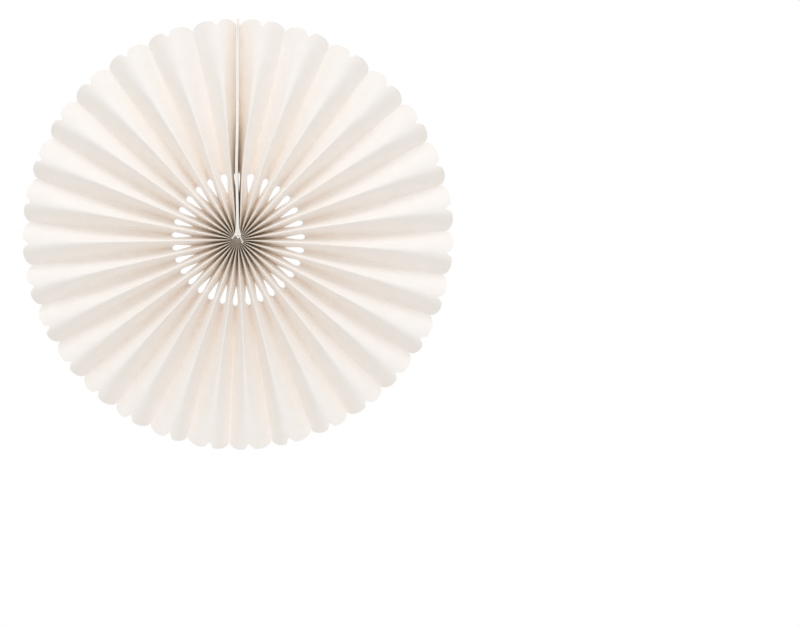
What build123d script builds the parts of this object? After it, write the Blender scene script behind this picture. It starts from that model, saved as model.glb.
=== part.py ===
# Paper fan rosette: one sheet pleated into a full disc, die cut along its
# valley folds and round its rim, gathered at the hub on a tied thread and
# closed at the top by two glued cards that stand in the seam.
#
# Frame: millimetres, +Z up, the front of the fan looks along -Y. The origin is
# the middle of the hub on the plane of the wall that the fan hangs against.

import os
from math import cos, hypot, pi, radians, sin, sqrt

from build123d import *

os.makedirs("parts", exist_ok=True)

# Outline
rim_radius = 201.4  # from the middle of the outline to the tips of the lobes
hub_drop = 4.3  # the hub hangs this far below the middle of the outline
hub_radius = 2.8  # hole that the gathered inner ends leave at the hub
lobe_depth = 8.0  # from the tip of a lobe down to the cusp at its valley fold
ridge_rise = 2.3  # the cusp at its ridge fold stands this much farther out
lobe_steps = 10  # short straight cuts that make up a lobe
cusp_offset = 0.02  # share of a panel by which the die cuts beside the folds
cut_margin = 2.0  # the die reaches this far past the paper

# Pleats
panel_count = 60  # panels from one side of the seam round to the other
top_depth = 10.5  # front to back at the rim, where the pleats are widest
paper_thickness = 0.2
sag = 2.2  # degrees by which the pleats at the sides hang towards the bottom
lean = 2.5  # degrees by which the lowest fold hangs off plumb
wobble = 0.4  # degrees by which hand-opened folds miss an even spacing
wobble_step = 2.4  # radians of the wobble's wave from one fold to the next

# Die-cut notch in each valley fold, as it opens towards the front
notch_start = 43.5  # radius of its pointed end
notch_length = 19.0
notch_shoulder = 15.0  # from the pointed end to the widest place
notch_half_width = 2.7
notch_steps = 6  # short straight cuts that make up its round end

# Seam: two cards with an adhesive strip between them, which swells at the foot
card_thickness = 0.8
strip_thickness = 0.2
strip_inset = 0.8  # from the cards' front and back edges
strip_start = 3.5
strip_end = 188.0
bond_gap = 0.02  # clearance at each glued face
seam_bow = -1.1  # sideways bow of the seam
bow_radius = 68.0
bow_length = 42.0
foot_length = 16.0  # inner stretch over which the cards splay apart
foot_splay = 1.6

# Thread that gathers the inner ends
thread_diameter = 0.9
thread_hole = 1.3
thread_ring = 5.2  # radius at which it passes through the panels
knot_radius = 1.1
knot_gap = 0.3  # knot to the front edges of the pleats
right_tail = [(3.4, 1.2), (4.7, -3.7)]  # X and Z of its bend and its end
left_tail = [(-3.4, 2.9), (-5.2, 0.2)]
tail_bend = 2.0

fold_steps = 13  # straight stretches that make up a fold line
end_radius = rim_radius + hub_drop + cut_margin / 2
fold_length = end_radius - hub_radius
stations = [hub_radius + fold_length * (n / fold_steps) ** 1.4 for n in range(fold_steps + 1)]
half_count = panel_count / 2
card_inner = paper_thickness + bond_gap
card_outer = card_inner + card_thickness
seam_half = card_outer + bond_gap + strip_thickness / 2


def fold_angle(fold):
    """Direction of a fold, in radians clockwise from straight up."""
    even = 2 * pi * fold / panel_count
    uneven = sag * sin(even) + lean * (1 - cos(even)) / 2
    uneven += wobble * sin(wobble_step * fold) * sin(even / 2)
    return even + radians(uneven)


def seam_middle(radius):
    """Sideways place of the middle of the seam."""
    return seam_bow / (1 + ((radius - bow_radius) / bow_length) ** 2) ** 2


def seam_edge(radius):
    """Sideways distance from the middle of the seam to its first fold."""
    splay = max(0, 1 - radius / foot_length)
    return seam_half + foot_splay * splay**2


def fold_point(fold, radius):
    """X and Z of a fold: straight out from the hub, set over by the seam."""
    angle = fold_angle(fold)
    share = 1 - fold / half_count
    shift = seam_edge(radius) * share + seam_middle(radius) * share**2
    return (
        radius * sin(angle) + shift * cos(angle),
        radius * cos(angle) - shift * sin(angle),
    )


def fold_pitch(fold, radius):
    """Mean sideways distance from a fold to the folds next to it."""
    x, z = fold_point(fold, radius)
    near = [fold_point(n, radius) for n in (fold - 1, fold + 1) if 0 <= n <= panel_count]
    return sum(hypot(near_x - x, near_z - z) for near_x, near_z in near) / len(near)


widest_pitch = max(fold_pitch(fold, end_radius) for fold in range(panel_count + 1))
panel_width = hypot(widest_pitch, top_depth)


def pleat_depth(fold, radius):
    """Front to back: the flat panel's width, less what it spans sideways."""
    return sqrt(panel_width**2 - fold_pitch(fold, radius) ** 2)


def seam_back(radius):
    """Y of the straight fold at the back of the seam."""
    rim_back = (pleat_depth(0, end_radius) - panel_width) / 2
    return rim_back * (radius - hub_radius) / fold_length


def fold_span(fold, radius):
    """Front and back Y of the mitred paper at a fold."""
    pitch = fold_pitch(fold, radius)
    depth = pleat_depth(fold, radius)
    slope = sqrt((panel_width / paper_thickness) ** 2 - 1)
    mitre = panel_width**2 / (depth + pitch * slope)
    if fold % 2:
        front = -(panel_width + depth) / 2
        return front, front + mitre
    back = (depth - panel_width) / 2
    if fold in (0, panel_count):
        back = seam_back(radius)
    return back - mitre, back


def fold_lines(fold):
    """Points down the front and the back edge of the paper along one fold."""
    points = [fold_point(fold, radius) for radius in stations]
    spans = [fold_span(fold, radius) for radius in stations]
    return [
        [Vector(x, span[side], z) for (x, z), span in zip(points, spans)]
        for side in (0, 1)
    ]


def seam_line(side, inset, width):
    """Points along the seam: inset from its first fold, and forward of it."""
    return [
        Vector(
            seam_middle(radius) + side * (seam_edge(radius) - inset),
            seam_back(radius) - width,
            radius,
        )
        for radius in stations
    ]


def facets(lines):
    """Flat three-cornered faces from each long line of points to the next."""
    faces = []
    for line, beside in zip(lines, lines[1:]):
        for a, b, c, d in zip(line, line[1:], beside[1:], beside):
            faces += [Face(Wire.make_polygon(corners)) for corners in ((a, b, c), (a, c, d))]
    return faces


def end_faces(lines):
    """The flat faces that close a strip at both ends of its long lines."""
    return [Face(Wire.make_polygon([line[end] for line in lines])) for end in (0, -1)]


def seam_layer(right, left, back, front):
    """A layer of the seam, between two places given as side and inset."""
    corners = [(left, back), (right, back), (right, front), (left, front)]
    lines = [seam_line(*place, width) for place, width in corners]
    return Solid(Shell(facets(lines + lines[:1]) + end_faces(lines)))


def rim_point(fold, lift):
    """X and Z on the rim, this far outside the cusps of the valley folds."""
    angle = fold_angle(fold)
    radius = hub_drop * cos(angle) + sqrt(rim_radius**2 - (hub_drop * sin(angle)) ** 2)
    return fold_point(fold, radius - lobe_depth + lift)


def lobe_points(panel):
    """Points round the lobe of a panel, from its first fold towards its next."""
    points = []
    for step in range(lobe_steps):
        turn = pi * step / lobe_steps
        share = (1 - cos(turn)) / 2
        rise = ridge_rise * (1 - share if panel % 2 else share)
        swell = (lobe_depth - ridge_rise / 2) * sin(turn)
        points.append(rim_point(panel + cusp_offset + share, rise + swell))
    return points


def notch_points(fold):
    """The pointed end of the notch in a valley fold, then its round end."""
    angle = fold_angle(fold)
    x, z = fold_point(fold, notch_start)
    turns = [pi * step / notch_steps for step in range(notch_steps + 1)]
    bulge = notch_length - notch_shoulder
    places = [(0, 0)]
    places += [(notch_half_width * cos(t), notch_shoulder + bulge * sin(t)) for t in turns]
    return [
        (x + out * sin(angle) + aside * cos(angle), z + out * cos(angle) - aside * sin(angle))
        for aside, out in places
    ]


# The folded sheet, closed strip by strip between its fold lines
folds = [fold_lines(fold) for fold in range(panel_count + 1)]
skin = []
for panel in range(panel_count):
    valley, ridge = folds[panel + panel % 2], folds[panel + 1 - panel % 2]
    skin += facets([valley[0], ridge[0]]) + facets([valley[1], ridge[1]])
    skin += end_faces([valley[0], valley[1], ridge[1], ridge[0]])
for side, (front, back) in ((1, folds[0]), (-1, folds[-1])):
    flap = [
        front,
        seam_line(side, 0, panel_width),
        seam_line(side, paper_thickness, panel_width),
        seam_line(side, paper_thickness, 0),
        back,
    ]
    skin += facets(flap) + end_faces(flap)
uncut_sheet = Solid(Shell(skin))

# Scalloped outline: one lobe to each panel
through = 1.3 * panel_width
with BuildPart() as outline:
    with BuildSketch(Plane.XZ.offset(-1)):
        with BuildLine():
            rim = [point for panel in range(panel_count) for point in lobe_points(panel)]
            rim.append(rim_point(panel_count + cusp_offset, 0))
            above = end_radius + cut_margin
            Polyline(*rim, (rim[-1][0], above), (rim[0][0], above), close=True)
        make_face()
    extrude(amount=through)

# Notches in the valley folds between the two sides of the seam
with BuildPart() as notches:
    with BuildSketch(Plane.XZ.offset(-1)):
        for fold in range(2, panel_count, 2):
            with BuildLine():
                Polyline(*notch_points(fold), close=True)
            make_face()
    extrude(amount=through)

# The lobe of the seam, cut square across its upright layers
seam_cusp = rim_point(0, 0)[1]
with BuildPart() as seam_lobe:
    with BuildSketch(Plane.YZ):
        with BuildLine():
            back = seam_back(seam_cusp)
            turns = [pi * step / lobe_steps for step in range(lobe_steps + 1)]
            lobe = [
                (back - panel_width * (1 - cos(t)) / 2, seam_cusp + lobe_depth * sin(t))
                for t in turns
            ]
            near, far = back - panel_width - cut_margin, back + cut_margin
            Polyline(*lobe, (near, seam_cusp), (near, above), (far, above), (far, seam_cusp), close=True)
        make_face()
    extrude(amount=seam_half + cusp_offset, both=True)

# The notch of the seam's first folds, cut the same way
notch_width = notch_half_width * panel_width / fold_pitch(1, notch_start + notch_shoulder)
with BuildPart() as seam_notch:
    with BuildSketch(Plane.YZ):
        with BuildLine():
            fold_back = seam_back(notch_start)
            turns = [pi / 2 * step / notch_steps for step in range(notch_steps + 1)]
            bulge = notch_length - notch_shoulder
            round_end = [
                (fold_back - notch_width * cos(t), notch_start + notch_shoulder + bulge * sin(t))
                for t in turns
            ]
            low, high = notch_start, notch_start + notch_length
            Polyline(
                (fold_back, low), *round_end, (cut_margin, high), (cut_margin, low), close=True
            )
        make_face()
    extrude(amount=notch_half_width + seam_half - seam_bow, both=True)

# Punched holes in which the thread ring runs
with BuildPart() as tunnel:
    with BuildSketch(Plane.YZ):
        with Locations((-panel_width / 2, thread_ring)):
            Rectangle(thread_hole, thread_hole)
    revolve(axis=Axis.Y)

with BuildPart() as pleated_sheet:
    add(uncut_sheet)
    add(outline.part, mode=Mode.INTERSECT)
    for waste in (notches, seam_lobe, seam_notch, tunnel):
        add(waste.part, mode=Mode.SUBTRACT)

with BuildPart() as spine_card_right:
    add(seam_layer((1, card_inner), (1, card_outer), 0, panel_width))
    add(seam_lobe.part, mode=Mode.SUBTRACT)
    add(tunnel.part, mode=Mode.SUBTRACT)

with BuildPart() as spine_card_left:
    add(seam_layer((-1, card_outer), (-1, card_inner), 0, panel_width))
    add(seam_lobe.part, mode=Mode.SUBTRACT)
    add(tunnel.part, mode=Mode.SUBTRACT)

# Channel in which the thread comes forward between the cards
with BuildPart() as channel:
    with BuildSketch(Plane.XZ.offset(panel_width / 2)):
        with Locations((0, thread_ring)):
            RegularPolygon(thread_hole / 2, side_count=8)
    extrude(amount=panel_width)

with BuildPart() as adhesive_strip:
    bonded = card_outer + bond_gap
    add(seam_layer((1, bonded), (-1, bonded), strip_inset, panel_width - strip_inset))
    with Locations((0, -panel_width / 2, (strip_start + strip_end) / 2)):
        Box(panel_width, 3 * panel_width, strip_end - strip_start, mode=Mode.INTERSECT)
    add(tunnel.part, mode=Mode.SUBTRACT)
    add(channel.part, mode=Mode.SUBTRACT)

knot_y = -panel_width - knot_gap - knot_radius
with BuildPart() as tie_thread:
    with BuildSketch(Plane.YZ):
        with Locations((-panel_width / 2, -thread_ring)):
            RegularPolygon(thread_diameter / 2, side_count=8)
    revolve(axis=Axis.Y)
    with BuildSketch(Plane.XZ.offset(panel_width / 2)):
        with Locations((0, thread_ring)):
            Circle(thread_diameter / 2)
    extrude(amount=-knot_y - panel_width / 2)
    with BuildSketch(Plane.YZ):
        with BuildLine():
            turns = [pi * step / 6 for step in range(7)]
            Polyline(
                *[(knot_y + knot_radius * sin(t), thread_ring + knot_radius * cos(t)) for t in turns],
                close=True,
            )
        make_face()
    revolve(axis=Axis((0, knot_y, 0), (0, 0, 1)))
    for tail in (right_tail, left_tail):
        with BuildLine(Plane.XZ.offset(-knot_y)) as route:
            FilletPolyline((0, thread_ring), *tail, radius=tail_bend)
        with BuildSketch(Plane(route.line @ 0, z_dir=route.line % 0)):
            RegularPolygon(thread_diameter / 2, side_count=8)
        sweep(path=route.line)

pleated_sheet.part.label = "pleated_sheet"
spine_card_right.part.label = "spine_card_right"
spine_card_left.part.label = "spine_card_left"
adhesive_strip.part.label = "adhesive_strip"
tie_thread.part.label = "tie_thread"

export_step(pleated_sheet.part, "parts/pleated_sheet.step")
export_step(spine_card_right.part, "parts/spine_card_right.step")
export_step(spine_card_left.part, "parts/spine_card_left.step")
export_step(adhesive_strip.part, "parts/adhesive_strip.step")
export_step(tie_thread.part, "parts/tie_thread.step")
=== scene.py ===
# %% [markdown]
# Paper fan rosette. A long sheet of pleated paper is opened to a full disc, gathered on a
# thread at its hub and closed at the top by a seam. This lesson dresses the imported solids:
# it folds a finer sheet in their place, ties a plied thread, and gives each piece the paper,
# board, glue or cotton that it is made of. All lengths are in millimetres until a mesh is
# written, which is in metres.

from math import cos, pi, radians, sqrt

import bmesh
import bpy
import numpy as np
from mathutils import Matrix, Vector


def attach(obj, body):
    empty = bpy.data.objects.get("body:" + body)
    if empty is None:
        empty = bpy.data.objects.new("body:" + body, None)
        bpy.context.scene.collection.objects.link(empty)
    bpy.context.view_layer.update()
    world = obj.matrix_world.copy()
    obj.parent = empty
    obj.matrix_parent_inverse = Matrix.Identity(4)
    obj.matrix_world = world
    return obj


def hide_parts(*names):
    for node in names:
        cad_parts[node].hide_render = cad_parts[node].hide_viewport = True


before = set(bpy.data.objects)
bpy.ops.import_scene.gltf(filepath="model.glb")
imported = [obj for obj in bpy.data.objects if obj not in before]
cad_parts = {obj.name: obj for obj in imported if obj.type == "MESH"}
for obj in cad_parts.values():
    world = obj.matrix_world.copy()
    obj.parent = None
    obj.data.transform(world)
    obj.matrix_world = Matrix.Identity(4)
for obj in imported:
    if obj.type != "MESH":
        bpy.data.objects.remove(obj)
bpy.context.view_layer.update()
MM = 0.001
print("nodes", sorted(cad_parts))


def deselect_all():
    """Clear the selection that loading and primitives leave behind."""
    bpy.ops.object.select_all(action="DESELECT")


def activate(piece):
    """Make one object the selected and active one."""
    deselect_all()
    piece.select_set(True)
    bpy.context.view_layer.objects.active = piece


def triangle_count(mesh):
    """How many triangles a mesh comes to."""
    return sum(len(polygon.vertices) - 2 for polygon in mesh.polygons)


# %% [markdown]
# Camera. The fan is seen square on, hung left of the middle of the picture. A long lens from
# far away keeps its rim round, as a catalogue picture does. The picture is 800 x 626 and one
# pixel is 0.9346 mm at the fan, which fixes how far off the camera stands.

# %% Set up the camera
picture_width, picture_height = 800, 626
pixel_mm = 0.9346
hub_pixel = (238.0, 239.0)
lens_mm, sensor_mm = 200.0, 36.0
middle_of_pleats = 15  # from the wall forward
clip_end_m = 100
camera_distance = picture_width * pixel_mm * lens_mm / sensor_mm
camera_x = (picture_width / 2 - hub_pixel[0]) * pixel_mm
camera_z = (hub_pixel[1] - picture_height / 2) * pixel_mm
camera_data = bpy.data.cameras.new("camera")
camera_data.lens = lens_mm
camera_data.sensor_width = sensor_mm
camera_data.clip_end = clip_end_m
camera = bpy.data.objects.new("camera", camera_data)
bpy.context.scene.collection.objects.link(camera)
camera.location = (camera_x * MM, -(camera_distance + middle_of_pleats) * MM, camera_z * MM)
camera.rotation_euler = (pi / 2, 0, 0)
bpy.context.scene.camera = camera
print("camera distance in m", round(camera_distance * MM, 2))

# %% [markdown]
# The fold lines. On the real fan the folds fan out from the hub, sixty panels to the turn.
# They are not quite even, because the paper was opened by hand and hangs a little. The hub
# lies a little below the middle of the rim. Angles run clockwise from straight up.

# %% Describe where the folds point
rim_radius = 201.4
hub_drop = 4.3
hub_radius = 2.8
inner_radius = 0.4
panel_count = 60
sag, lean, wobble, wobble_step = 2.2, 2.5, 0.4, 2.4  # the first three in degrees
ridge_sag = 0.45


def fold_angle(fold):
    """Direction of a fold, in radians clockwise from straight up."""
    even = 2 * pi * fold / panel_count
    uneven = sag * np.sin(even) + lean * (1 - np.cos(even)) / 2
    uneven += wobble * np.sin(wobble_step * fold) * np.sin(even / 2)
    uneven += ridge_sag * np.sin(even) * (1 - np.cos(pi * fold)) / 2
    return even + np.radians(uneven)


print("the bottom fold points at", round(float(np.degrees(fold_angle(panel_count / 2))), 1))

# %% [markdown]
# The seam. Two cards and their glue stand between the first fold and the last, so these lie a
# little apart, and farther apart at the foot, where the cards splay. The cards bow slightly to
# the left. The ridge beside each card is drawn in, which leaves a narrow dark gap there, and at
# the left the first lobe is drawn in too.

# %% Describe the seam and its pull on the folds
seam_half = 1.14
seam_bow, bow_radius, bow_length = -1.1, 68.0, 42.0
foot_length, foot_splay = 16.0, 1.6
pull_radii, pull_to_rim, left_pull_at_rim = (0, 56, 100, 185), (0, 2.5, 3.0), 3.4


def seam_middle(radius):
    """Sideways place of the middle of the seam."""
    return seam_bow / (1 + ((radius - bow_radius) / bow_length) ** 2) ** 2


def seam_edge(radius):
    """Sideways distance from the middle of the seam to its first fold."""
    return seam_half + foot_splay * np.maximum(0, 1 - radius / foot_length) ** 2


def seam_pull(fold, radius):
    """Sideways distance by which a fold is drawn in to the seam."""
    count = panel_count / 2 - abs(fold - panel_count / 2)
    nearness = min(count, 1) * np.exp(-((count - 1) ** 2))
    at_rim = left_pull_at_rim if fold > panel_count / 2 else 0
    return nearness * np.interp(radius, pull_radii, (*pull_to_rim, at_rim))


def fold_point(fold, radius):
    """X and Z of a fold at a radius."""
    angle = fold_angle(fold)
    share = 1 - 2 * fold / panel_count
    shift = seam_edge(radius) * share + seam_middle(radius) * share**2
    shift = shift - np.sign(share) * seam_pull(fold, radius)
    shift = shift * np.minimum(1, radius / hub_radius)
    x = radius * np.sin(angle) + shift * np.cos(angle)
    z = radius * np.cos(angle) - shift * np.sin(angle)
    return x, z


print("seam half width at the foot", round(float(seam_edge(hub_radius)), 2))

# %% [markdown]
# The depth of the pleats. Every panel keeps its flat width, so where two folds stand close
# together at the hub the pleat is deep, and where they spread at the rim it is shallow. That
# one rule gives the depth at every radius. The width itself is read at the rim, away from the
# seam, where the pull would make it seem wider than it is.

# %% Work out the panel's width and the depth of each fold
end_radius = rim_radius + hub_drop + 1
past_end, table_rows = 4, 420
folds_by_seam = 5
top_depth, least_depth = 10.5, 2.0
radii = np.linspace(inner_radius, end_radius + past_end, table_rows)
fold_lines = np.array([fold_point(fold, radii) for fold in range(panel_count + 1)])
fold_x, fold_z = fold_lines.transpose(1, 0, 2)
gaps = np.hypot(np.diff(fold_x, axis=0), np.diff(fold_z, axis=0))
pitch = np.vstack([gaps[:1], (gaps[1:] + gaps[:-1]) / 2, gaps[-1:]])
free_folds = pitch[folds_by_seam:-folds_by_seam]
widest = max(np.interp(end_radius, radii, row) for row in free_folds)
panel_width = sqrt(widest**2 + top_depth**2)
depth = np.sqrt(np.maximum(panel_width**2 - pitch**2, least_depth**2))
print("panel width", round(panel_width, 2), "pitch at the rim", round(widest, 2))

# %% [markdown]
# Front and back of each fold. Odd folds are ridges and come to the front, even folds are
# valleys and go to the back. The two folds of the seam run straight.

# %% Give each fold its place from front to back
is_ridge = (np.arange(panel_count + 1) % 2)[:, None] == 1
fold_y = np.where(is_ridge, -(panel_width + depth) / 2, (depth - panel_width) / 2)
rim_back = (np.interp(end_radius, radii, depth[0]) - panel_width) / 2
seam_back = rim_back * (radii - hub_radius) / (end_radius - hub_radius)
fold_y[0] = fold_y[-1] = seam_back


def along(table, fold, radius):
    """Read a fold's table at any radius."""
    return np.interp(radius, radii, table[fold])


def pitch_at(fold, radius):
    """Mean width of the two panels beside a fold."""
    return float(along(pitch, fold, radius))


print("ridges reach from", round(float(fold_y.min()), 1), "to", round(float(fold_y.max()), 1))

# %% [markdown]
# The flat sheet. The real one is pleated by machine and die cut while it is flat or stacked,
# so the mesh starts flat too: one grid, with eleven columns to each panel and rows from the hub
# to the rim. Rows are closer together where the notch and the lobes need them.

# %% Lay out the rows and columns
columns_per_panel = 11
strips = panel_count + 2
notch_start, notch_length, notch_shoulder, notch_half_width = 43.5, 19.0, 15.0, 2.7
start_lobes = 182.0
hub_rows = [inner_radius, 1.6, 2.8, 4.4, 6, 8, 10.5, 13.5, 17, 21, 25.5, 30, 34.5, 39]
notch_rows = [notch_start + s for s in (0, 1.2, 3, 5.2, 7.5, 10, 12.5, 15, 16.6, 17.8, 18.6, 19)]
outer_rows = list(np.linspace(66, start_lobes, 27))
lobe_rows = [0.35, 0.6, 0.78, 0.9, 0.97, 1.0]
row_count = len(hub_rows) + len(notch_rows) + len(outer_rows) + len(lobe_rows)
first_notch_row = len(hub_rows)
last_notch_row = first_notch_row + len(notch_rows) - 1
print("rows", row_count, "columns", strips * columns_per_panel)

deselect_all()
bpy.ops.mesh.primitive_grid_add(
    x_subdivisions=strips * columns_per_panel, y_subdivisions=row_count - 1, size=2, calc_uvs=True
)
sheet = bpy.context.object
sheet.name = sheet.data.name = "pleated_paper"
sheet_mesh = sheet.data
print("flat grid", len(sheet_mesh.vertices), "points")

# %% [markdown]
# The notch. Flat, it is a slot along the valley fold. Opened, it looks like a teardrop: its
# sides taper from a point near the hub to a shoulder, and its outer end is half an ellipse.

# %% Describe the notch
notch_taper = 0.85


def notch_half(radius):
    """Half the width of the notch at a radius, as seen from the front."""
    s = np.clip(radius - notch_start, 0, notch_length)
    taper = notch_half_width * (s / notch_shoulder) ** notch_taper
    past_shoulder = (s - notch_shoulder) / (notch_length - notch_shoulder)
    round_end = np.sqrt(np.maximum(0, 1 - past_shoulder**2))
    return np.where(s < notch_shoulder, taper, notch_half_width * round_end)


print("notch", notch_length, "mm long and", 2 * notch_half_width, "mm wide")

# %% [markdown]
# Columns follow the cuts and the folds. The second column line beside a valley is moved out to
# the edge of the notch, or to where the valley starts to round. The last ones beside a ridge
# mark where its crest rounds over. The columns between share what is left. The crest is sharp
# at the hub and wide at the rim, where the paper was pulled open.

# %% Place the columns across a panel
crest_hub, crest_rim = 0.8, 13.0
opening_start, opening_length, opening_power = 100, 100, 1.8
hub_zone, crest_limit_hub, crest_limit = 30, 0.4, 0.72
valley_round, valley_limit, flap_valley, least_inner = 0.5, 0.2, 0.001, 0.03
wall_marks, crest_marks = np.array([0.16, 0.33, 0.5, 0.67, 0.84]), (0.67, 0.33)
crest_column = 8


def crest_share(radius, fold):
    """Share of the panels beside a ridge that its rounded crest takes."""
    opened = np.clip((radius - opening_start) / opening_length, 0, 1) ** opening_power
    most = crest_limit_hub if radius < hub_zone else crest_limit
    return min(most, (crest_hub + (crest_rim - crest_hub) * opened) / pitch_at(fold, radius))


def valley_share(radius, fold):
    """Share of the panels beside a valley that its rounded bottom takes."""
    if fold in (0, panel_count):
        return flap_valley
    return min(valley_limit, valley_round / pitch_at(fold, radius))


def column_shares(radius, valley, ridge, in_notch):
    """Where the twelve column lines of a panel run, from valley (0) to ridge (1)."""
    inner = max(valley_share(radius, valley), least_inner)
    if in_notch:
        inner = notch_half(radius) / pitch_at(ridge, radius)
    crest = 1 - crest_share(radius, ridge)
    between = inner + (crest - inner) * wall_marks
    middle, last = (1 - mark * (1 - crest) for mark in crest_marks)
    return np.array([0, inner / 2, inner, *between, crest, middle, last, 1.0])


print("columns at mid radius", column_shares(opening_start, 2, 1, False).round(2).tolist())

# %% [markdown]
# The lobe. Each panel ends in a rounded lobe between two cusps. The cusp at the ridge stands
# farther out than the one in the valley. The outline is half an ellipse over the line from cusp
# to cusp, and the last rows of the sheet are pulled onto it.

# %% Describe the rim
lobe_depth, ridge_cusp_rise = 8.0, 2.3
lobe_width_radius = start_lobes + 15  # where the columns of the lobes take their shares


def rim_at(fold):
    """Radius of the rim circle in the direction of a fold."""
    angle = fold_angle(fold)
    return hub_drop * np.cos(angle) + sqrt(rim_radius**2 - (hub_drop * np.sin(angle)) ** 2)


def lobe_outline(share, valley, ridge, tip):
    """Radius of the lobe's edge across a panel."""
    swell = 2 * np.sqrt(np.clip(share * (1 - share), 0, None))
    return valley + (ridge - valley) * share + (tip - (valley + ridge) / 2) * swell


def row_radii(valley_cusp, ridge_cusp, tip, shares_of):
    """Radius of every row, at each column line of one strip."""
    rows = []
    for r in [*hub_rows, *notch_rows, *outer_rows]:
        rows.append(np.full(columns_per_panel + 1, r))
    shares = shares_of(lobe_width_radius, False)
    edge = lobe_outline(shares, valley_cusp, ridge_cusp, tip)
    for q in lobe_rows:
        rows.append(start_lobes + (edge - start_lobes) * q)
    return np.array(rows)


print("rim above and below the hub", *(round(float(rim_at(f)), 1) for f in (0, panel_count / 2)))

# %% [markdown]
# Buckles. Opening the fan by hand left a shallow buckle across some panels, more in the upper
# ones. Each panel gets one bulge of its own, at its own radius, from seeded numbers.

# %% Describe the buckles
buckle_radii, buckle_lengths, usual_depth = (112, 172), (11, 20), 0.75
rng = np.random.default_rng(7)
buckle_place = rng.uniform(*buckle_radii, panel_count)
buckle_length = rng.uniform(*buckle_lengths, panel_count)
buckle_depth = rng.normal(0, usual_depth, panel_count)
lowest_share, level_rise = 0.35, 0.2


def buckle(panel, radius, share):
    """How far a panel bulges at a place, in mm."""
    swell = np.exp(-(((radius - buckle_place[panel]) / buckle_length[panel]) ** 2))
    height = np.clip(np.cos(fold_angle(panel)) + level_rise, 0, 1)
    upper = lowest_share + (1 - lowest_share) * height
    return buckle_depth[panel] * upper * swell * np.sin(pi * share) ** 2


print("deepest buckle", round(float(np.abs(buckle_depth).max()), 2), "mm")

# %% [markdown]
# Folding. Every point of the flat grid is carried to its place between its valley and its
# ridge. Near the hub only the last millimetre bends over the fold. Towards the rim the crest is
# wide and soft, because the paper was creased once and then pulled open. An end flap has no
# ridge: it stands straight up out of its valley, against its card.

# %% Describe a folded panel and a flap
paper_thickness = 0.2


def fold_profile(share, crest, valley):
    """Height share across a panel: rounded in the valley, straight, eased over the crest."""
    over = np.maximum(0, share - crest) ** 2 / (2 * (1 - crest))
    under = np.maximum(0, valley - share) ** 2 / (2 * valley)
    return (share - over + under) / sqrt(1 - (1 - crest) / 2)


def is_notch_row(row):
    """Whether a row crosses the notch or ends it."""
    return first_notch_row <= row <= last_notch_row


def place_panel(panel):
    """Points of one panel, from its lower-numbered fold to the next."""
    valley, ridge = (panel, panel + 1) if panel % 2 == 0 else (panel + 1, panel)
    tip = rim_at(panel + 0.5) / cos(pi / panel_count)

    def shares_of(radius, in_notch):
        return column_shares(radius, valley, ridge, in_notch)

    ridge_cusp = rim_at(ridge) - lobe_depth + ridge_cusp_rise
    rows = row_radii(rim_at(valley) - lobe_depth, ridge_cusp, tip, shares_of)
    strip = np.zeros((columns_per_panel + 1, row_count, 3))
    for j, r in enumerate(rows):
        level = r.mean() if j >= row_count - len(lobe_rows) else r[0]
        t = shares_of(min(level, lobe_width_radius), is_notch_row(j))
        g = fold_profile(t, t[crest_column], valley_share(level, valley))
        for axis, table in ((0, fold_x), (2, fold_z)):
            strip[:, j, axis] = along(table, valley, r) * (1 - t) + along(table, ridge, r) * t
        strip[:, j, 1] = along(fold_y, valley, r) * (1 - g) + along(fold_y, ridge, r) * g
        strip[:, j, 1] += buckle(panel, r, t)
    return strip if panel % 2 == 0 else strip[::-1]


def place_flap(side):
    """Points of an end flap, from its fold in the valley to its free front edge."""
    cusp = rim_at(0) - lobe_depth

    def shares_of(radius, in_notch):
        return column_shares(radius, 0, 1, in_notch)

    rows = row_radii(cusp, cusp, rim_at(0), shares_of)
    strip = np.zeros((columns_per_panel + 1, row_count, 3))
    for j, r in enumerate(rows):
        t = shares_of(min(r[0], lobe_width_radius), is_notch_row(j))
        inset = np.where(t > 0, paper_thickness / 2, 0)
        strip[:, j, 0] = seam_middle(r) + side * (seam_edge(r) - inset)
        strip[:, j, 1] = np.interp(r, radii, seam_back) - panel_width * t
        strip[:, j, 2] = r
    return strip


# %% [markdown]
# The points are worked out strip by strip, flap, panels, flap, and then each point of the flat
# grid is sent to the one that has its column and row.

# %% Fold the sheet
points = np.zeros((strips * columns_per_panel + 1, row_count, 3))
points[: columns_per_panel + 1] = place_flap(1)[::-1]
for panel in range(panel_count):
    start = (panel + 1) * columns_per_panel
    points[start : start + columns_per_panel + 1] = place_panel(panel)
points[-columns_per_panel - 1 :] = place_flap(-1)

grid = np.empty(len(sheet_mesh.vertices) * 3)
sheet_mesh.vertices.foreach_get("co", grid)
grid = grid.reshape(-1, 3)
column_of = np.rint((grid[:, 0] + 1) / 2 * strips * columns_per_panel).astype(int)
row_of = np.rint((grid[:, 1] + 1) / 2 * (row_count - 1)).astype(int)
sheet_mesh.vertices.foreach_set("co", (points[column_of, row_of] * MM).ravel())
sheet_mesh.update()
print("folded", len(column_of), "points into", panel_count, "panels and two flaps")

# %% [markdown]
# Die cutting. The notch cells are the ones between a valley fold and the column line at the
# edge of the notch, in the notch rows. They are picked by their place in the grid and deleted,
# which leaves a teardrop with a clean edge. Then the points that met at its ends are merged.

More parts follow.
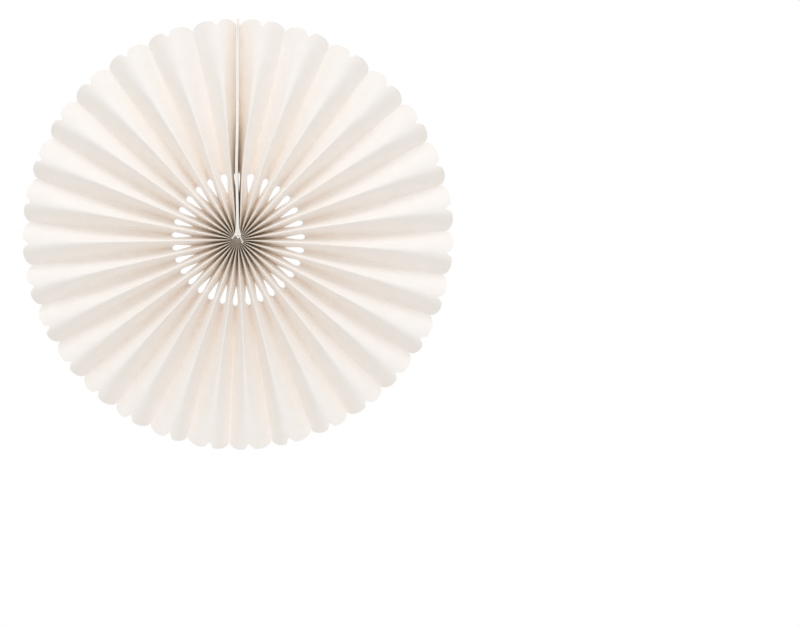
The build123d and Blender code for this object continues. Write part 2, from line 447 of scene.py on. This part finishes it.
# %% Cut the notches
notch_columns = 2
merge_distance = 0.004
cut = bmesh.new()
cut.from_mesh(sheet_mesh)
waste = []
for face in cut.faces:
    corners = [v.index for v in face.verts]
    column, row = column_of[corners].min(), row_of[corners].min()
    strip, local = divmod(column, columns_per_panel)
    from_fold = local if strip % 2 == 1 else columns_per_panel - 1 - local
    if from_fold < notch_columns and first_notch_row <= row < last_notch_row:
        waste.append(face)
bmesh.ops.delete(cut, geom=waste, context="FACES")
bmesh.ops.delete(cut, geom=[v for v in cut.verts if not v.link_faces], context="VERTS")
bmesh.ops.remove_doubles(cut, verts=cut.verts, dist=merge_distance * MM)
bmesh.ops.recalc_face_normals(cut, faces=cut.faces)
cut.to_mesh(sheet_mesh)
cut.free()
print("cut away", len(waste), "cells; points left", len(sheet_mesh.vertices))

# %% [markdown]
# Thickness. Paper of this weight is 0.2 mm thick. Solidify gives the sheet two faces and a
# cut edge. The folds stay crisp because only edges flatter than a set angle are smoothed.

# %% Thicken the paper
crisp_fold = radians(28)
activate(sheet)
wall = sheet.modifiers.new("wall", "SOLIDIFY")
wall.thickness = paper_thickness * MM
wall.offset = 0
bpy.ops.object.modifier_apply(modifier=wall.name)
bpy.ops.object.shade_smooth_by_angle(angle=crisp_fold)
print("sheet triangles", triangle_count(sheet_mesh))

# %% [markdown]
# A small helper for materials. Colours are written as sRGB hex, as a maker would pick them,
# and turned to the linear values that the shader wants. A socket is given by its name, or by
# its number where a node has several of one name: 0 and 1 are a Math node's two terms, 0, 6
# and 7 a Mix node's share and its two colours.

# %% Colour and node helpers


def linear(hex_colour):
    """Linear RGBA from an sRGB hex string."""
    parts = [int(hex_colour[i : i + 2], 16) / 255 for i in (1, 3, 5)]
    rgb = (c / 12.92 if c <= 0.04045 else ((c + 0.055) / 1.055) ** 2.4 for c in parts)
    return (*rgb, 1.0)


def add_node(tree, kind, settings=None, inputs=None, links=None):
    """Add a node, set its properties and inputs, and link sockets into it."""
    node = tree.nodes.new(kind)
    for name, value in (settings or {}).items():
        setattr(node, name, value)
    for name, value in (inputs or {}).items():
        node.inputs[name].default_value = value
    for name, socket in (links or {}).items():
        tree.links.new(socket, node.inputs[name])
    return node


def new_material(name):
    """A new material, its node tree and its shader."""
    material = bpy.data.materials.new(name)
    material.use_nodes = True
    tree = material.node_tree
    shader = tree.nodes["Principled BSDF"]
    return material, tree, shader


def wear(piece, material):
    """Give a piece one material."""
    piece.data.materials.clear()
    piece.data.materials.append(material)
    for polygon in piece.data.polygons:
        polygon.material_index = 0


print("half grey is", round(linear("#808080")[0], 3), "in linear light")

# %% [markdown]
# Uncoated white paper, 160 g. It has no gloss. Close up it shows a felt of fibres about
# 0.05 to 0.1 mm wide, drawn here at 0.9 mm so that it shows at all, and slow cloudiness about
# 11 mm across, the look-through of the pulp. Its white is a warm one.

# %% Paper: clouds and felt
paper, tree, shader = new_material("uncoated_paper_160g")
place = add_node(tree, "ShaderNodeTexCoord")
clouds = add_node(
    tree, "ShaderNodeTexNoise", inputs={"Scale": 90.0, "Detail": 3.0, "Roughness": 0.55},
    links={"Vector": place.outputs["Object"]},
)
tone = add_node(tree, "ShaderNodeValToRGB", links={"Fac": clouds.outputs["Fac"]})
tone.color_ramp.elements[0].position = 0.3
tone.color_ramp.elements[0].color = linear("#F8F3EE")
tone.color_ramp.elements[1].position = 0.75
tone.color_ramp.elements[1].color = linear("#FAF6F2")
fibres = add_node(
    tree, "ShaderNodeTexNoise", inputs={"Scale": 1100.0, "Detail": 4.0, "Roughness": 0.65},
    links={"Vector": place.outputs["Object"]},
)
felt = add_node(
    tree, "ShaderNodeBump", inputs={"Strength": 0.12, "Distance": 0.00006},
    links={"Height": fibres.outputs["Fac"]},
)
tree.links.new(felt.outputs["Normal"], shader.inputs["Normal"])
shader.inputs["Roughness"].default_value = 0.92
shader.inputs["Specular IOR Level"].default_value = 0.25
print("paper nodes", len(tree.nodes))

# %% [markdown]
# Painted shade. The paper is drawn a little browner deep in the pleats at the hub and beside
# the seam, where the narrow folds lie in deep shade, only to bring the tones of those folds
# nearer
# to real ones: no stain is seen there. Three masks say where: how near the hub a point is, how
# near the cards, and how far behind the ridges and before the valleys. They are in metres on
# Object coordinates.

# %% Paper: painted shade deep in the pleats
hub_reach, card_reach = (0.008, 0.037), (0.0035, 0.0060)
ridge_zone, valley_zone = (-0.0250, -0.0190), (-0.007, -0.001)
seam_heights = ((0.0, 0), (0.012, 0.8), (0.05, 0.7), (0.12, 0))
axes = add_node(tree, "ShaderNodeSeparateXYZ", links={"Vector": place.outputs["Object"]})
flat = add_node(
    tree, "ShaderNodeCombineXYZ", links={"X": axes.outputs["X"], "Z": axes.outputs["Z"]},
)
reach = add_node(
    tree, "ShaderNodeVectorMath", settings={"operation": "LENGTH"},
    links={"Vector": flat.outputs["Vector"]},
)
sideways = add_node(
    tree, "ShaderNodeMath", settings={"operation": "ABSOLUTE"}, links={0: axes.outputs["X"]},
)
masks = []
for source, (near, far), (at_near, at_far) in (
    (reach.outputs["Value"], hub_reach, (1.0, 0.0)),
    (sideways.outputs[0], card_reach, (1.0, 0.0)),
    (axes.outputs["Y"], ridge_zone, (0.0, 1.0)),
    (axes.outputs["Y"], valley_zone, (1.0, 0.0)),
):
    mask = add_node(
        tree, "ShaderNodeMapRange", links={"Value": source},
        inputs={"From Min": near, "From Max": far, "To Min": at_near, "To Max": at_far},
    )
    masks.append(mask.outputs["Result"])
by_hub, beside_cards, behind_ridges, before_valleys = masks
up_the_seam = add_node(tree, "ShaderNodeValToRGB", links={"Fac": axes.outputs["Z"]})
for _ in range(2):
    up_the_seam.color_ramp.elements.new(0.5)
for element, (height, share) in zip(up_the_seam.color_ramp.elements, seam_heights):
    element.position, element.color = height, (share, share, share, 1)
print("paper masks", len(masks))

# %% [markdown]
# The masks are multiplied where both have to hold, and the larger is taken where either will
# do. The result mixes the painted shade into the clouds. The result mixes the browner tone into
# the clouds.

# %% Paper: mix in the painted shade
inside = add_node(
    tree, "ShaderNodeMath", settings={"operation": "MULTIPLY"},
    links={0: behind_ridges, 1: before_valleys},
)
by_seam = add_node(
    tree, "ShaderNodeMath", settings={"operation": "MULTIPLY"},
    links={0: beside_cards, 1: up_the_seam.outputs["Color"]},
)
by_hub_or_seam = add_node(
    tree, "ShaderNodeMath", settings={"operation": "MAXIMUM"},
    links={0: by_hub, 1: by_seam.outputs[0]},
)
# Mask of the painted shade: deep in the pleats, near the hub or beside the seam.
deep = add_node(
    tree, "ShaderNodeMath", settings={"operation": "MULTIPLY"},
    links={0: inside.outputs[0], 1: by_hub_or_seam.outputs[0]},
)
# The painted shade colour, a browner paper tone mixed in where the folds lie in deep shade.
painted_pleat_shade = add_node(
    tree, "ShaderNodeMix", settings={"data_type": "RGBA", "blend_type": "MIX"},
    inputs={7: linear("#DED3C2")}, links={0: deep.outputs[0], 6: tone.outputs["Color"]},
)
tree.links.new(painted_pleat_shade.outputs[2], shader.inputs["Base Color"])
wear(sheet, paper)
print("paper nodes", len(tree.nodes))

# %% [markdown]
# White board for the two cards, 0.8 mm. It is whiter than the paper, so its front edges draw
# the bright line up the seam. The pulp in its cut edges is a little uneven, in specks well
# under a millimetre that are drawn at 4 mm so that they show.

# %% Card
card, tree, shader = new_material("white_board_die_cut")
place = add_node(tree, "ShaderNodeTexCoord")
layers = add_node(
    tree, "ShaderNodeTexNoise", inputs={"Scale": 260.0, "Detail": 3.0},
    links={"Vector": place.outputs["Object"]},
)
tone = add_node(tree, "ShaderNodeValToRGB", links={"Fac": layers.outputs["Fac"]})
tone.color_ramp.elements[0].color = linear("#FCFAF7")
tone.color_ramp.elements[1].color = linear("#FEFDFB")
tree.links.new(tone.outputs["Color"], shader.inputs["Base Color"])
rough = add_node(
    tree, "ShaderNodeBump", inputs={"Strength": 0.15, "Distance": 0.00005},
    links={"Height": layers.outputs["Fac"]},
)
tree.links.new(rough.outputs["Normal"], shader.inputs["Normal"])
shader.inputs["Roughness"].default_value = 0.85
for name in ("spine_card_right", "spine_card_left"):
    wear(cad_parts[name], card)
print("card nodes", len(tree.nodes))

# %% [markdown]
# The bond between the cards, which swells where they splay at the foot. It is white glue that
# dried a little yellow, slightly glossy, and hazy in patches about 2.5 mm across.

# %% Adhesive
glue, tree, shader = new_material("dried_white_glue")
place = add_node(tree, "ShaderNodeTexCoord")
haze = add_node(
    tree, "ShaderNodeTexNoise", inputs={"Scale": 400.0}, links={"Vector": place.outputs["Object"]}
)
tone = add_node(tree, "ShaderNodeValToRGB", links={"Fac": haze.outputs["Fac"]})
tone.color_ramp.elements[0].color = linear("#F4F0E6")
tone.color_ramp.elements[1].color = linear("#FBF8F1")
tree.links.new(tone.outputs["Color"], shader.inputs["Base Color"])
shader.inputs["Roughness"].default_value = 0.4
wear(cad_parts["adhesive_strip"], glue)
print("glue nodes", len(tree.nodes))

# %% [markdown]
# The thread. The real one is two plies of cotton twisted together. It runs in a ring through
# the punched ends of the pleats, comes forward between the cards, is wound at their foot and
# ends in two short tails that untwist a little. The hidden half of each turn, and the ring,
# are left to run through the paper and the cards, because holes for them would not show.

# %% Lay out the thread's route
ply_radius, twist_length = 0.3, 2.8
knot_gap, knot_radius = 0.3, 1.1
thread_ring, knot_y = 5.2, -(panel_width + knot_gap + knot_radius)
right_tail, left_tail = [(3.4, 1.2), (4.7, -3.7)], [(-3.4, 2.9), (-5.2, 0.2)]
tail_fray = 1.6
root_aside, root_back, root_down = 0.3, 0.5, 1.2
bend_share, bend_front, bend_up, tip_back = 0.8, 0.2, 1.0, 0.4
points_per_turn, ring_points, tail_points = 28, 73, 24


def circle_route(middle, across, along_y, turns, rise):
    """A coil at the foot of the cards, as points in mm."""
    steps = np.linspace(0, 2 * pi * turns, points_per_turn * turns + 1)
    widths = np.interp(steps, (0, steps[-1]), across)
    heights = np.interp(steps, (0, steps[-1]), rise)
    return np.column_stack([widths * np.cos(steps), middle + along_y * np.sin(steps), heights])


def ring_route():
    """The thread's ring through the punched ends."""
    steps = np.linspace(0, 2 * pi, ring_points)
    middle = np.full(ring_points, -panel_width / 2)
    return np.column_stack([thread_ring * np.sin(steps), middle, thread_ring * np.cos(steps)])


def tail_route(tail):
    """One cut end, from beside the knot over its bend to its tip."""
    (bend_x, bend_z), (tip_x, tip_z) = tail
    t = np.linspace(0, 1, tail_points)[:, None]
    root_x = root_aside * np.sign(bend_x)
    root = np.array([root_x, knot_y + root_back, thread_ring - root_down])
    bend = np.array([bend_x * bend_share, knot_y - bend_front, bend_z + bend_up])
    tip = np.array([tip_x, knot_y + tip_back, tip_z])
    return (1 - t) ** 2 * root + 2 * t * (1 - t) * bend + t**2 * tip


riser_ys = (-panel_width / 2, -20, knot_y + 1)
riser = [(0, y, thread_ring) for y in riser_ys]
long_coil = circle_route(middle=-22.8, across=(2.6, 1.7), along_y=3.1, turns=7, rise=(2.6, 8.6))
front_coil = circle_route(middle=-24.8, across=(2.6, 3.0), along_y=2.1, turns=3, rise=(3.4, 4.6))
routes = [
    (ring_route(), 0),
    (np.array(riser), 0),
    (long_coil, 0),
    (front_coil, 0),
    (tail_route(right_tail), tail_fray),
    (tail_route(left_tail), tail_fray),
]
print("thread laid out in", len(routes), "runs")

# %% [markdown]
# The plies. Each is a bevelled curve that winds round the route, made a mesh, because a plain
# tube would lose the twist. In the tails the plies spread apart towards the cut end.

# %% Twist two plies round each run
point_spacing, fewest_points = 0.3, 8
overlap = 1.05  # the plies press into each other


def ply_points(route, phase, fray):
    """Points of one ply: the route, evenly spaced, with the ply wound round it."""
    steps = np.hypot.reduce(np.diff(route, axis=0), axis=1)
    reached = np.concatenate([[0], np.cumsum(steps)])
    count = max(fewest_points, int(reached[-1] / point_spacing))
    at = np.linspace(0, reached[-1], count)
    path = np.column_stack([np.interp(at, reached, route[:, axis]) for axis in range(3)])
    ahead = np.gradient(path, axis=0)
    ahead /= np.linalg.norm(ahead, axis=1)[:, None]
    front_to_back = np.abs(ahead[:, 1:2]) > 0.8
    aside = np.cross(ahead, np.where(front_to_back, [[0, 0, 1.0]], [[0, 1.0, 0]]))
    aside /= np.linalg.norm(aside, axis=1)[:, None]
    other = np.cross(ahead, aside)
    turn = 2 * pi * at / twist_length + phase
    spread = ply_radius * (1 + fray * (at / at[-1]) ** 2)[:, None]
    return path + spread * (aside * np.cos(turn)[:, None] + other * np.sin(turn)[:, None])


strands = bpy.data.curves.new("strands", "CURVE")
strands.dimensions = "3D"
strands.bevel_depth = ply_radius * overlap * MM
strands.bevel_resolution = 1
strands.use_fill_caps = True
for route, fray in routes:
    for phase in (0, pi):
        ply = ply_points(route, phase, fray)
        spline = strands.splines.new("POLY")
        spline.points.add(len(ply) - 1)
        for point, xyz in zip(spline.points, ply):
            point.co = (*(xyz * MM), 1)
thread = bpy.data.objects.new("plied_thread", strands)
bpy.context.scene.collection.objects.link(thread)
activate(thread)
bpy.ops.object.convert(target="MESH")
thread = bpy.context.object
bpy.ops.object.shade_smooth_by_angle(angle=radians(60))
print("thread triangles", triangle_count(thread.data))

# %% [markdown]
# Bleached cotton. Loose fibres make it matt, and its white is not quite even. Lint is about
# 0.02 mm and is drawn at 0.4 mm so that it breaks up the white at all.

# %% Cotton
cotton, tree, shader = new_material("bleached_cotton_thread")
place = add_node(tree, "ShaderNodeTexCoord")
lint = add_node(
    tree, "ShaderNodeTexNoise", inputs={"Scale": 2500.0, "Detail": 3.0},
    links={"Vector": place.outputs["Object"]},
)
tone = add_node(tree, "ShaderNodeValToRGB", links={"Fac": lint.outputs["Fac"]})
tone.color_ramp.elements[0].color = linear("#F3EFE8")
tone.color_ramp.elements[1].color = linear("#FDFBF7")
tree.links.new(tone.outputs["Color"], shader.inputs["Base Color"])
shader.inputs["Roughness"].default_value = 0.9
wear(thread, cotton)
wear(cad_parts["tie_thread"], cotton)
print("cotton nodes", len(tree.nodes))

# %% [markdown]
# The plied thread stands for the plain one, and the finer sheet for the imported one. Both ride
# on the only body.

# %% Put the thread and the sheet in the frame
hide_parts("tie_thread")
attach(thread, "root")
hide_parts("pleated_sheet")
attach(sheet, "root")
print("placed", thread.name, "and", sheet.name)

# %% [markdown]
# Floor. A pale floor lies below the fan, out of the picture. It sends soft light back up, and
# to the camera it is lifted to white, so that the background is plain.

# %% Floor
floor_size_m, floor_height_m, floor_lift = 2.4, -0.46, 0.35


def seen_or_mirrored(tree):
    """1 where a camera, glossy or transmission ray looks, else 0."""
    path = add_node(tree, "ShaderNodeLightPath")
    mirrored = add_node(
        tree, "ShaderNodeMath", settings={"operation": "MAXIMUM"},
        links={0: path.outputs["Is Glossy Ray"], 1: path.outputs["Is Transmission Ray"]},
    )
    either = add_node(
        tree, "ShaderNodeMath", settings={"operation": "MAXIMUM"},
        links={0: path.outputs["Is Camera Ray"], 1: mirrored.outputs[0]},
    )
    return either.outputs[0]


deselect_all()
bpy.ops.mesh.primitive_plane_add(size=floor_size_m, location=(0, 0, floor_height_m))
floor = bpy.context.object
floor.name = "floor"
floor_paint, tree, shader = new_material("pale_floor")
shader.inputs["Base Color"].default_value = linear("#E6E4E1")
shader.inputs["Roughness"].default_value = 1.0
lift = add_node(
    tree, "ShaderNodeMath", settings={"operation": "MULTIPLY"}, inputs={1: floor_lift},
    links={0: seen_or_mirrored(tree)},
)
shader.inputs["Emission Color"].default_value = (1, 1, 1, 1)
tree.links.new(lift.outputs[0], shader.inputs["Emission Strength"])
floor.data.materials.append(floor_paint)
print("floor", floor_size_m, "m wide at", floor_height_m, "m")

# %% [markdown]
# Light. One large soft lamp stands above and in front, so that the panels that face up are
# bright and those that face down are in shade. A weaker one stands in front and picks out the
# crests, and the world fills in. White paper passes light on many times inside a pleat, so the
# number of bounces is raised from its default, which left the valleys far too dark.

# %% Lamps and world
hub = Vector((0, 0, 0))
world_fill, bounces = 0.735, 20


def soft_lamp(name, place, size, watts):
    """A square white area lamp aimed at the hub."""
    data = bpy.data.lights.new(name, "AREA")
    data.shape, data.size, data.energy = "SQUARE", size, watts
    lamp = bpy.data.objects.new(name, data)
    bpy.context.scene.collection.objects.link(lamp)
    lamp.location = place
    lamp.rotation_euler = (hub - Vector(place)).to_track_quat("-Z", "Y").to_euler()
    print(name, watts, "W")


soft_lamp("key_lamp", (0.0, -1.6, 2.5), 1.6, 21.5)
soft_lamp("front_lamp", (0.2, -3.2, 0.3), 2.4, 11.5)

world = bpy.data.worlds.new("world")
bpy.context.scene.world = world
world.use_nodes = True
tree = world.node_tree
background = tree.nodes["Background"]
background.inputs["Color"].default_value = (1.0, 1.0, 1.0, 1)
background.inputs["Strength"].default_value = world_fill
white = add_node(tree, "ShaderNodeBackground", inputs={"Color": (1, 1, 1, 1), "Strength": 1.0})
choose = add_node(
    tree, "ShaderNodeMixShader",
    links={0: seen_or_mirrored(tree), 1: background.outputs[0], 2: white.outputs[0]},
)
tree.links.new(choose.outputs[0], tree.nodes["World Output"].inputs["Surface"])
bpy.context.scene.view_settings.view_transform = "Standard"
bpy.context.scene.cycles.max_bounces = bounces
bpy.context.scene.cycles.diffuse_bounces = bounces
